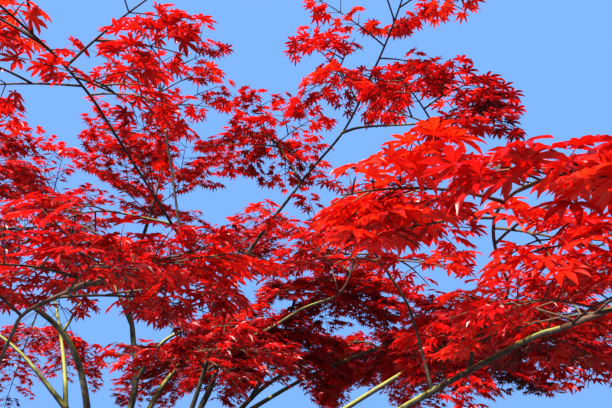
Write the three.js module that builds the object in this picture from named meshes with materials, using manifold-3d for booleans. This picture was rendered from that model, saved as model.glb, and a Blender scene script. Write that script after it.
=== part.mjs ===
import * as THREE from "three";
import { mergeVertices } from "three/addons/utils/BufferGeometryUtils.js";
import Module from "manifold-3d";

// Japanese maple in red spring leaf: nine stems fan out of one short trunk and carry a wide, low dome of
// leaves. Millimetres, +Z up. The origin is the middle of the flat cut under the trunk. Angles are in degrees.

const wasm = await Module();
wasm.setup();

// Driving sizes
const GAP = 0.3; // between a limb and what it grows from
const TRUNK = { base: 88, tip: 64, depth: 20, legs: [[180, 90, 150], [180, 86, 300], [177, 84, 290]] };
const FLARE = { reach: 60, height: 90, roots: 5, lobe: 0.3 }; // swell of the root flare at ground level
const STEM_SPREAD = 45; // how far from the trunk's middle a stem with a side leaves it
const TAPER = 1.8; // how early a limb loses its thickness: 1 is evenly
const COLLAR = { swell: 0.3, length: 90 }; // swell of a limb where it leaves its parent
const STEM = { minBase: 20, sides: 6, step: 300 }; // a limb with this base or more is a stem
const BOUGH = { sides: 5, step: 220 };
const MASS_STEM = { reach: 0.8, bend: 0.4 }; // how far the stem of a mass goes past its middle, and its bend
const SPRAYS = { large: 7, small: 5, smallUnder: 450 }; // twigs of a mass, and the half width of a small mass
const SPRAY_REACH = 0.96; // where a twig ends, as a share of the mass's half width and half depth
const SPRAY_LEVELS = [-0.6, 0.85]; // levels of the lowest and the highest twig, as a share of the half depth
const SPRAY_TURN = { step: 137.5, play: 30 }; // from one twig's heading to the next one's
const SPRAY_ANGLE = 50; // between a twig and the stem that it leaves
const SPRAY_FEET = [0.2, 0.95]; // where the first and the last twig leave the bare part of the stem
const SIDE_SPRAY = { share: 0.28, turn: 58, length: 0.8 }; // a twig's own side twig
const TWIG = { base: 4, tip: 2.8 }; // radius of a mass's twigs
const TWIG_ARCH = 0.1; // rise of a twig's arch, as a share of its length
const TWIG_LENGTHS = [1, 0.86, 0.72, 0.58]; // shares of its full length that a twig is tried at
const LEAF = { length: 0.8, width: 0.8 }; // as shares of the mass's half width
const LEAF_SHARE = 0.7; // the most of a twig's length that its leaf takes
const LEAF_SIZES = [1, 0.8, 0.6]; // sizes that a leaf is tried at
const LEAF_TILTS = [-35, 0, 35]; // tilts that it is tried at, after one of its own
const OWN_TILT = 60; // the most of that tilt, either way
const MARGIN = 0.03; // strip kept free between two masses, as a share of their reach
const CLEARANCE = 12; // between a twig and any limb
const PROBE = 25; // spacing of the places on a limb that this is measured from
const SLIVER = 0.3; // faces narrower than this are merged away where twigs are fused

// Each limb leaves another limb (on) at a share of its length (at), its radius falls from base to tip, and its
// legs are [heading from +X, rise, run]. Its crown is the mass of foliage at its tip: [heading, out, up] from
// the tip to the middle of the mass, then the mass's half width and half depth.
const LIMBS = {
  middle_stem: {
    on: "trunk", at: 0.92, base: 36, tip: 12,
    legs: [[76, 88, 540], [23, 81, 470], [178, 80, 340], [161, 75, 360], [18, 81, 410]],
    crown: [18, 60, 550, 740, 460],
  },
  right_leader: {
    on: "trunk", at: 0.71, side: 15, base: 36, tip: 5,
    legs: [
      [12, 73, 600], [-16, 59, 560], [-59, 45, 310], [-69, 61, 510],
      [-41, 41, 710], [-54, 22, 400], [-65, 29, 330],
    ],
    crown: [-69, 250, 200, 400, 340],
  },
  left_leader: {
    on: "trunk", at: 0.87, side: -55, base: 26, tip: 4.5,
    legs: [
      [-25, 66, 550], [-4, 60, 500], [-67, 52, 700],
      [-105, 26, 580], [-99, 16, 530], [-86, -2, 250],
    ],
    crown: [-94, 420, -60, 500, 270],
  },
  low_right_bough: {
    on: "trunk", at: 0.59, side: -38, base: 36, tip: 9,
    legs: [[-38, 42, 910], [-40, 24, 790], [-43, 25, 550], [-55, 20, 530], [-50, 14, 130]],
    crown: [-26, 90, 30, 540, 290],
  },
  left_stem: {
    on: "trunk", at: 0.88, side: -170, base: 31, tip: 11,
    legs: [[-162, 78, 530], [-156, 87, 410], [-154, 63, 500], [-159, 29, 650], [-167, 10, 580]],
    crown: [-167, 610, -140, 700, 420],
  },
  front_left_stem: {
    on: "trunk", at: 0.68, side: -118, base: 28, tip: 8,
    legs: [[-124, 56, 810], [-126, 50, 840], [-115, 33, 650], [-99, 13, 470]],
    crown: [-98, 430, -140, 660, 360],
  },
  back_left_stem: {
    on: "trunk", at: 0.71, side: 145, base: 30, tip: 11,
    legs: [[143, 57, 770], [133, 56, 840], [131, 42, 980]],
    crown: [135, 510, -650, 740, 420],
  },
  back_stem: {
    on: "trunk", at: 0.81, side: 100, base: 34, tip: 11,
    legs: [[95, 63, 700], [79, 50, 720], [84, 17, 1090]],
    crown: [132, 400, -230, 780, 480],
  },
  back_right_stem: {
    on: "trunk", at: 0.8, side: 50, base: 34, tip: 11,
    legs: [[47, 49, 760], [34, 45, 790], [37, 22, 950]],
    crown: [41, 480, -250, 760, 460],
  },
  left_leader_riser: {
    on: "left_leader", at: 0.72, base: 7, tip: 5,
    legs: [[-130, 74, 310], [-118, 69, 230]],
    crown: [-104, 80, 220, 420, 380],
  },
  left_leader_side: {
    on: "left_leader", at: 0.75, base: 7, tip: 5,
    legs: [[-153, 4, 230]],
    crown: [-152, 310, -280, 500, 260],
  },
  left_leader_low: {
    on: "left_leader", at: 0.42, base: 8, tip: 5,
    legs: [[-92, 10, 220]],
    crown: [-74, 330, 0, 480, 290],
  },
  right_leader_left: {
    on: "right_leader", at: 0.79, base: 7, tip: 5,
    legs: [[176, 60, 230]],
    crown: [136, 110, 70, 420, 300],
  },
  right_leader_riser: {
    on: "right_leader", at: 0.95, base: 6, tip: 4.5,
    legs: [[163, 69, 160]],
    crown: [-98, 120, -90, 340, 250],
  },
  right_leader_side: {
    on: "right_leader", at: 0.9, base: 6, tip: 4.5,
    legs: [[-51, -14, 140], [-51, -23, 320]],
    crown: [-84, 170, -130, 350, 220],
  },
  right_leader_low: {
    on: "right_leader", at: 0.47, base: 13, tip: 7,
    legs: [[-44, 6, 390], [-44, 16, 300], [-48, 6, 200]],
    crown: [-70, 160, 340, 440, 260],
  },
  low_right_near: {
    on: "low_right_bough", at: 0.88, base: 6.5, tip: 4.5,
    legs: [[-70, 57, 130], [-67, 31, 130], [-93, 24, 110], [-118, 15, 140]],
    crown: [-106, 630, -90, 330, 130],
  },
  low_right_riser: {
    on: "low_right_bough", at: 0.82, base: 6, tip: 4.5,
    legs: [[-132, 70, 210], [-116, 37, 140], [-133, 40, 120]],
    crown: [-115, 180, 10, 360, 200],
  },
  low_right_side: {
    on: "low_right_bough", at: 0.35, base: 17, tip: 10,
    legs: [[-15, 37, 560], [-7, 30, 810]],
    crown: [-6, 370, -20, 620, 400],
  },
  middle_left: {
    on: "middle_stem", at: 0.67, base: 13, tip: 9,
    legs: [[162, 54, 360], [167, 44, 380]],
    crown: [173, 510, 510, 680, 400],
  },
  middle_right: {
    on: "middle_stem", at: 0.5, base: 14, tip: 10,
    legs: [[9, 60, 260], [37, 34, 220]],
    crown: [13, 550, -250, 640, 440],
  },
  back_left_side: {
    on: "back_left_stem", at: 0.48, base: 17, tip: 10,
    legs: [[173, 40, 620], [170, 28, 580]],
    crown: [173, 600, -120, 700, 420],
  },
  back_left_riser: {
    on: "back_left_stem", at: 0.75, base: 12, tip: 9,
    legs: [[75, 61, 600]],
    crown: [86, 320, 280, 680, 400],
  },
  back_riser: {
    on: "back_stem", at: 0.5, base: 16, tip: 10,
    legs: [[40, 56, 480], [51, 63, 410]],
    crown: [59, 260, 540, 660, 420],
  },
  back_right_side: {
    on: "back_right_stem", at: 0.47, base: 17, tip: 10,
    legs: [[-5, 28, 670], [-9, 20, 600]],
    crown: [-3, 500, -130, 680, 440],
  },
  back_right_riser: {
    on: "back_right_stem", at: 0.56, base: 15, tip: 10,
    legs: [[-22, 60, 440], [-34, 66, 360]],
    crown: [-14, 340, -70, 640, 380],
  },
  front_left_near: {
    on: "front_left_stem", at: 0.43, base: 9, tip: 5,
    legs: [[-60, 19, 730], [-57, 7, 800]],
    crown: [-21, 320, 80, 420, 110],
  },
  front_left_riser: {
    on: "front_left_stem", at: 0.63, base: 12, tip: 9,
    legs: [[165, 72, 670]],
    crown: [153, 140, 420, 620, 380],
  },
  left_stem_side: {
    on: "left_stem", at: 0.63, base: 13, tip: 9,
    legs: [[-132, 8, 540], [-130, 7, 470]],
    crown: [-137, 640, -80, 680, 400],
  },
};

// Colours
const BARK = { color: 0x6b6350, roughness: 0.9, metalness: 0 };
const FOLIAGE = { colors: [0xc4231a, 0xa81c18, 0xd2361f, 0x8f1a1a], roughness: 0.6, metalness: 0 };

// A seeded run of numbers from 0 to 1
function seeded(seed) {
  let state = Math.imul(seed, 2654435761) >>> 0;
  return () => {
    state = (Math.imul(state, 1664525) + 1013904223) >>> 0;
    return state / 2 ** 32;
  };
}

// The unit vector at a heading and a rise
function towards(heading, rise) {
  const turn = THREE.MathUtils.degToRad(heading);
  const lift = THREE.MathUtils.degToRad(rise);
  return new THREE.Vector3(
    Math.cos(lift) * Math.cos(turn),
    Math.cos(lift) * Math.sin(turn),
    Math.sin(lift),
  );
}

// The smooth line that a limb follows from its start, leg by leg
function limbLine(start, legs) {
  const points = [start];
  for (const [heading, rise, run] of legs) {
    points.push(points.at(-1).clone().addScaledVector(towards(heading, rise), run));
  }
  return new THREE.CatmullRomCurve3(points, false, "catmullrom", 0.5);
}

// A solid from a closed geometry
function solid(geometry) {
  geometry.deleteAttribute("normal");
  geometry.deleteAttribute("uv");
  const merged = mergeVertices(geometry, 1e-4);
  return new wasm.Manifold(new wasm.Mesh({
    numProp: 3,
    vertProperties: new Float32Array(merged.attributes.position.array),
    triVerts: new Uint32Array(merged.index.array),
  }));
}

// A rod bent along a line, with a ring at each share of its length. For a ring and an angle on it sizeAt gives
// how far the ring reaches along the direction across, and square to it.
function rod(line, sides, shares, across, sizeAt) {
  const steps = shares.length - 1;
  const geometry = new THREE.CylinderGeometry(1, 1, 1, sides, steps);
  const place = geometry.attributes.position;
  for (let i = 0; i < place.count; i += 1) {
    const ring = Math.round((0.5 - place.getY(i)) * steps);
    const tangent = line.getTangentAt(shares[ring]);
    const up = tangent.clone().cross(across).normalize();
    const side = up.clone().cross(tangent);
    const [wide, high] = sizeAt(ring, Math.atan2(place.getZ(i), place.getX(i)));
    const point = line.getPointAt(shares[ring])
      .addScaledVector(side, place.getX(i) * wide)
      .addScaledVector(up, place.getZ(i) * high);
    place.setXYZ(i, point.x, point.y, point.z);
  }
  return solid(geometry);
}

// Even shares from 0 to 1
function evenly(steps) {
  return Array.from({ length: steps + 1 }, (_, i) => i / steps);
}

// The level direction square to the way a line runs as a whole
function acrossOf(line) {
  const run = line.getPoint(1).sub(line.getPoint(0));
  return new THREE.Vector3(run.y, -run.x, 0).normalize();
}

// The largest of the bodies that a solid is made of
function largestBody(whole) {
  return whole.decompose().reduce((best, body) => (body.volume() > best.volume() ? body : best));
}

// Whether two solids share any space
function clash(a, b) {
  const [boxA, boxB] = [a.boundingBox(), b.boundingBox()];
  const apart = [0, 1, 2].some((i) => boxA.max[i] < boxB.min[i] || boxB.max[i] < boxA.min[i]);
  return !apart && !a.intersect(b).isEmpty();
}

// The trunk leans a little and swells into a lobed root flare above its flat cut at ground level
function trunkSolid(inflate) {
  const { line } = limbs.trunk;
  const length = line.getLength();
  const shares = evenly(8);
  const body = rod(line, 15, shares, new THREE.Vector3(0, 1, 0), (ring, angle) => {
    const along = shares[ring] * length;
    const taper = THREE.MathUtils.lerp(TRUNK.base, TRUNK.tip, shares[ring]);
    const lobes = 1 + FLARE.lobe * Math.cos(FLARE.roots * angle);
    const radius = taper + FLARE.reach * lobes * Math.exp(-along / FLARE.height) + inflate;
    return [radius, radius];
  });
  const ground = new THREE.BoxGeometry(1000, 1000, 500).translate(0, 0, -250);
  return body.subtract(solid(ground));
}

// The radius of a limb at a share of its length
function limbRadius(limb, share) {
  const collar = COLLAR.swell * Math.exp((-share * limb.line.getLength()) / COLLAR.length);
  return THREE.MathUtils.lerp(limb.tip, limb.base, (1 - share) ** TAPER) * (1 + collar);
}

function limbSolid(limb, inflate) {
  const { sides, step } = limb.base >= STEM.minBase ? STEM : BOUGH;
  const shares = evenly(Math.max(2, Math.round(limb.line.getLength() / step)));
  return rod(limb.line, sides, shares, acrossOf(limb.line), (ring) => {
    const radius = limbRadius(limb, shares[ring]) + inflate;
    return [radius, radius];
  });
}

// Lines and crowns of all limbs, each worked out from the limb that it grows on
const limbs = { trunk: { line: limbLine(new THREE.Vector3(0, 0, -TRUNK.depth), TRUNK.legs) } };
for (const [name, row] of Object.entries(LIMBS)) {
  const start = limbs[row.on].line.getPointAt(row.at);
  if (row.side !== undefined) start.addScaledVector(towards(row.side, 0), STEM_SPREAD);
  const line = limbLine(start, row.legs);
  const [heading, out, up, wide, deep] = row.crown;
  const middle = line.getPoint(1).addScaledVector(towards(heading, 0), out).add(new THREE.Vector3(0, 0, up));
  limbs[name] = { ...row, line, crown: { middle, wide, deep } };
}
const crowns = Object.keys(LIMBS).map((name) => limbs[name].crown);
const limbPoints = Object.keys(LIMBS).flatMap((name) => {
  const limb = limbs[name];
  const count = Math.ceil(limb.line.getLength() / PROBE);
  return limb.line.getSpacedPoints(count)
    .map((point, i) => ({ name, point, radius: limbRadius(limb, i / count) }));
});

// How far out of a crown's middle a point lies: 1 is its surface
function depthIn(crown, point) {
  const offset = point.clone().sub(crown.middle);
  return Math.hypot(offset.x / crown.wide, offset.y / crown.wide, offset.z / crown.deep);
}

// Whether a point lies in the space that is a crown's own
function inOwnSpace(crown, point) {
  const own = depthIn(crown, point);
  return own < 1 && crowns.every((other) => other === crown || own + MARGIN < depthIn(other, point));
}

// Whether a line stays clear of every limb but the one that carries it
function clearOfLimbs(line, name) {
  return line.getSpacedPoints(12).every((spot) => limbPoints.every((limb) => (
    limb.name === name || spot.distanceTo(limb.point) > limb.radius + CLEARANCE
  )));
}

// The stem of a mass: it goes on from its limb's tip and bends through the middle of the crown
function massStem(limb) {
  const { middle, wide, deep } = limb.crown;
  const direction = limb.line.getTangent(1);
  const foot = limb.line.getPoint(1).addScaledVector(direction, GAP);
  const onward = middle.clone().sub(foot).normalize();
  const reach = 1 / Math.hypot(onward.x / wide, onward.y / wide, onward.z / deep);
  const end = middle.clone().addScaledVector(onward, MASS_STEM.reach * reach);
  const bend = foot.clone().addScaledVector(direction, MASS_STEM.bend * foot.distanceTo(end));
  return new THREE.QuadraticBezierCurve3(foot, bend, end);
}

// An arching line from a foot towards an end, drawn back until its tip is in the crown's own space
function archTo(foot, end, limb, name) {
  for (const share of TWIG_LENGTHS) {
    const tip = foot.clone().lerp(end, share);
    const bend = foot.clone().lerp(tip, 0.5);
    bend.z += TWIG_ARCH * foot.distanceTo(tip);
    const line = new THREE.QuadraticBezierCurve3(foot, bend, tip);
    if (inOwnSpace(limb.crown, tip) && clearOfLimbs(line, name)) return [line];
  }
  return [];
}

// The twigs of a mass: each aims at a place on a spiral round the crown, leaves the stem where that makes about
// the spray angle, and bears a side twig of its own
function massTwigs(name, stem, feet, random) {
  const limb = limbs[name];
  const { middle, wide, deep } = limb.crown;
  const firstTurn = random() * 360;
  const free = [...feet];
  const twigs = [];
  for (let i = 0; i < feet.length; i += 1) {
    const level = THREE.MathUtils.lerp(...SPRAY_LEVELS, (i + 0.5) / feet.length);
    const heading = firstTurn + SPRAY_TURN.step * i + SPRAY_TURN.play * random();
    const aim = towards(heading, 0).multiplyScalar(wide * Math.sqrt(1 - level ** 2));
    aim.z = level * deep;
    const end = middle.clone().addScaledVector(aim, SPRAY_REACH);
    const miss = (share) => {
      const leave = end.clone().sub(stem.getPointAt(share));
      return Math.abs(THREE.MathUtils.radToDeg(leave.angleTo(stem.getTangentAt(share))) - SPRAY_ANGLE);
    };
    const share = free.reduce((best, next) => (miss(next) < miss(best) ? next : best));
    free.splice(free.indexOf(share), 1);
    const hand = random() < 0.5 ? 1 : -1;
    for (const twig of archTo(stem.getPointAt(share), end, limb, name)) {
      const foot = twig.getPointAt(SIDE_SPRAY.share);
      const onward = twig.getPoint(1).sub(foot).multiplyScalar(SIDE_SPRAY.length);
      onward.applyAxisAngle(new THREE.Vector3(0, 0, 1), THREE.MathUtils.degToRad(hand * SIDE_SPRAY.turn));
      twigs.push([twig, ...archTo(foot, foot.clone().add(onward), limb, name)]);
    }
  }
  return twigs;
}

// Sections of a leaf of three lobes: distance back from its tip, half width, and half thickness. The first and
// the last are shares of its length, the half width is a share of its width.
const LEAF_SECTIONS = [[1, 0.04, 0.008], [0.7, 0.5, 0.0094], [0.52, 0.22, 0.0094], [0, 0.02, 0.0056]];

// The length of the leaf at the end of a twig
function leafLength(line, size) {
  return Math.min(LEAF.length * size, LEAF_SHARE * line.getLength());
}

// The tips of a leaf's two side lobes
function sideLobes(line, size, across) {
  const [back, halfWidth] = LEAF_SECTIONS[1];
  const middle = line.getPointAt(1 - (back * leafLength(line, size)) / line.getLength());
  return [-1, 1].map((hand) => middle.clone().addScaledVector(across, hand * halfWidth * LEAF.width * size));
}

// A flat leaf at the end of a line. With a foot radius the three-sided twig that it widens from comes too, with
// a ring at each foot of a smaller twig.
function spraySolid(line, size, across, footRadius = 0, feet = []) {
  const bareShares = footRadius > 0 ? [0, ...feet] : [];
  const leaf = leafLength(line, size);
  const shares = [...bareShares, ...LEAF_SECTIONS.map(([back]) => 1 - (back * leaf) / line.getLength())];
  return rod(line, 3, shares, across, (ring) => {
    if (ring < bareShares.length) {
      const radius = THREE.MathUtils.lerp(footRadius, TWIG.tip, shares[ring]);
      return [radius, radius];
    }
    const [, halfWidth, halfThickness] = LEAF_SECTIONS[ring - bareShares.length];
    return [Math.max(halfWidth * LEAF.width * size, TWIG.tip), halfThickness * leaf];
  });
}

// A mass of foliage before anything has grown: its stem's line, the feet of its twigs and its own random numbers
function newMass(name, seed) {
  const limb = limbs[name];
  const stem = massStem(limb);
  const { wide } = limb.crown;
  const bareShare = 1 - leafLength(stem, wide) / stem.getLength();
  const count = wide < SPRAYS.smallUnder ? SPRAYS.small : SPRAYS.large;
  const feet = evenly(count - 1).map((share) => bareShare * THREE.MathUtils.lerp(...SPRAY_FEET, share));
  return { name, limb, stem, feet, random: seeded(seed), sprays: [] };
}

// Adds a spray to a mass, at the first size and tilt that keep it in the mass's own space and clear of the
// others and of the mass's own leaves
function grow(mass, line, footRadius, feet, parent, others) {
  const { limb, sprays, random } = mass;
  const { wide } = limb.crown;
  const tilts = [OWN_TILT * (2 * random() - 1), ...LEAF_TILTS];
  for (const [size, tilt] of LEAF_SIZES.flatMap((share) => tilts.map((angle) => [share * wide, angle]))) {
    const across = acrossOf(line).applyAxisAngle(line.getTangent(1), THREE.MathUtils.degToRad(tilt));
    const lobes = sideLobes(line, size, across);
    const whole = spraySolid(line, size, across, footRadius, feet);
    const leaf = spraySolid(line, size, across);
    const fits = lobes.every((point) => inOwnSpace(limb.crown, point))
      && !sprays.some((other) => clash(whole, other.leaf))
      && !sprays.some((other) => other !== parent && clash(leaf, other.whole))
      && !others.some((other) => clash(whole, other));
    if (fits) {
      sprays.push({ whole, leaf });
      return sprays.at(-1);
    }
  }
  return null;
}

// Grows the twigs of a mass that has its stem. A twig that finds no room is skipped.
function growTwigs(mass, others) {
  const [main] = mass.sprays;
  for (const [line, side] of massTwigs(mass.name, mass.stem, mass.feet, mass.random)) {
    const twig = grow(mass, line, TWIG.base, [SIDE_SPRAY.share], main, others);
    if (twig && side) grow(mass, side, TWIG.base, [], twig, others);
  }
}

// The sprays of a mass, fused
function massSolid(mass) {
  const fused = wasm.Manifold.union(mass.sprays.map((spray) => spray.whole));
  return largestBody(fused).asOriginal().simplify(SLIVER);
}

function addMesh(name, body, look) {
  const { vertProperties, triVerts } = body.getMesh();
  const geometry = new THREE.BufferGeometry();
  geometry.setAttribute("position", new THREE.BufferAttribute(vertProperties, 3));
  geometry.setIndex(new THREE.BufferAttribute(triVerts, 1));
  geometry.computeVertexNormals();
  const mesh = new THREE.Mesh(geometry, new THREE.MeshStandardMaterial(look));
  mesh.name = name;
  tree.add(mesh);
}

const tree = new THREE.Group();
const trunk = trunkSolid(0);
addMesh("trunk", trunk, BARK);

// Each limb is cut clear of the trunk and of the limbs before it, by fatter copies of them
const fatTrunk = trunkSolid(GAP);
const cutters = [fatTrunk.add(fatTrunk.translate([0, 0, GAP]))];
const limbSolids = [trunk];
for (const name of Object.keys(LIMBS)) {
  let body = limbSolid(limbs[name], 0);
  for (const cutter of cutters) {
    if (clash(body, cutter)) body = largestBody(body.subtract(cutter));
  }
  cutters.push(limbSolid(limbs[name], GAP));
  limbSolids.push(body);
  addMesh(name, body, BARK);
}

// The stems of all masses grow first, then each mass's twigs, clear of every limb and of the other masses
const masses = Object.keys(LIMBS).map((name, i) => newMass(name, i + 1));
const grown = (mass) => [
  ...limbSolids,
  ...masses.filter((other) => other !== mass).flatMap((other) => other.sprays.map((spray) => spray.whole)),
];
for (const mass of masses) grow(mass, mass.stem, mass.limb.tip, mass.feet, null, grown(mass));
for (const mass of masses) growTwigs(mass, grown(mass));
const { colors, ...leafLook } = FOLIAGE;
masses.forEach((mass, i) => {
  addMesh(`${mass.name}_leaves`, massSolid(mass), { color: colors[i % colors.length], ...leafLook });
});

export default tree;
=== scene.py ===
import math
import random

import bpy
import numpy as np
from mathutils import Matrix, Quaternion, Vector, noise


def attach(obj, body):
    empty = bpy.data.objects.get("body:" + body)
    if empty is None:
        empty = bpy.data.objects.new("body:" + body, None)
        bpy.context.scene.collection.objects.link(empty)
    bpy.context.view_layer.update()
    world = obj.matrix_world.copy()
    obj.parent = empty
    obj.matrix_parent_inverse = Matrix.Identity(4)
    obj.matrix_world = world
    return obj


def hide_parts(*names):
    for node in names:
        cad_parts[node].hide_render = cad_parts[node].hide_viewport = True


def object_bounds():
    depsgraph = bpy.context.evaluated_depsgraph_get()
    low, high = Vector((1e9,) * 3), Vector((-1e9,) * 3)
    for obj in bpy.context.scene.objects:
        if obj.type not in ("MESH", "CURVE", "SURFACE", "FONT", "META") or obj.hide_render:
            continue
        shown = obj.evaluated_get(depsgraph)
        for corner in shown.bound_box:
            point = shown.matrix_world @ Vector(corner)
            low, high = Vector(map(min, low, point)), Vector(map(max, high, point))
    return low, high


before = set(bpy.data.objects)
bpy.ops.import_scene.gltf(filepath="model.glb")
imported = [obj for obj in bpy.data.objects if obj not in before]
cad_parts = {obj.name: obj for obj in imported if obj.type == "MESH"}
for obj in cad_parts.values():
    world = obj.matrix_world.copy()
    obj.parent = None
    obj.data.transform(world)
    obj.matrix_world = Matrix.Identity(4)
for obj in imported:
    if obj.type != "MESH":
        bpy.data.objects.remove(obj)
cad_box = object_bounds()

# The camera stands under the edge of the crown at eye height and is tipped up: 28 mm lens, 36 mm sensor
CAMERA = {"place": (1.10, -3.15, 1.60), "tip_up": 22.4, "lens": 28, "sensor": 36}
bpy.ops.object.select_all(action="DESELECT")
bpy.ops.object.camera_add(
    location=CAMERA["place"],
    rotation=(math.radians(90 + CAMERA["tip_up"]), 0, 0),
)
camera = bpy.context.object
camera.data.lens = CAMERA["lens"]
camera.data.sensor_width = CAMERA["sensor"]
bpy.context.scene.camera = camera

# Sizes of the tree, in millimetres. Grown lines are worked out in millimetres and made in metres.
METRE = 1000
GAP = 0.3  # between a limb and what it grows from
TRUNK = {"base": 88, "tip": 64, "depth": 20, "legs": [[180, 90, 150], [180, 86, 300], [177, 84, 290]]}
FLARE = {"reach": 60, "height": 90, "roots": 5, "lobe": 0.3}  # swell of the trunk's foot
STEM_SPREAD = 45  # how far from the trunk's middle a stem with a side leaves it
TAPER = 1.8  # how early a limb loses its thickness: 1 is evenly
COLLAR = {"swell": 0.3, "length": 90}  # swell of a limb where it leaves its parent
MASS_STEM = {"reach": 0.8, "bend": 0.4}  # how far the stem of a mass goes past its middle, and its bend
SPRAYS = {"large": 7, "small": 5, "small_under": 450}  # twigs of a mass, and the half width of a small mass
SPRAY_REACH = 0.96  # where a twig ends, as a share of the mass's half width and half depth
SPRAY_LEVELS = (-0.6, 0.85)  # the twigs' levels lie between these, as shares of the half depth
SPRAY_TURN = {"step": 137.5, "play": 30}  # from one twig's heading to the next one's
SPRAY_ANGLE = 50  # between a twig and the stem that it leaves
SPRAY_FEET = (0.2, 0.95)  # where the first and the last twig leave the bare part of the stem
SIDE_SPRAY = {"share": 0.28, "turn": 58, "length": 0.8}  # a twig's own side twig
TWIG = {"base": 4, "tip": 1.4}  # radius of a mass's twigs
TWIG_ARCH = 0.1  # a twig arches towards a point this far above it, as a share of its length
TWIG_LENGTHS = (1, 0.86, 0.72, 0.58)  # shares of its full length that a twig is tried at
TWIG_SPOTS = 13  # places along a twig that are tested for room
MARGIN = 0.03  # strip kept free between two masses, as a share of their reach
CLEARANCE = 12  # between a twig and any limb but its own
PROBE = 25  # spacing of the places on a limb that this is measured from
BATCH = 2000  # points that are measured at a time

# The leafy part of a twig, as a share of its mass's half width, and the most of the twig that it takes. Its
# longest shoots are another share of that half width.
LEAFY = {"length": 0.8, "share": 0.7, "width": 0.4}

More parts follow.
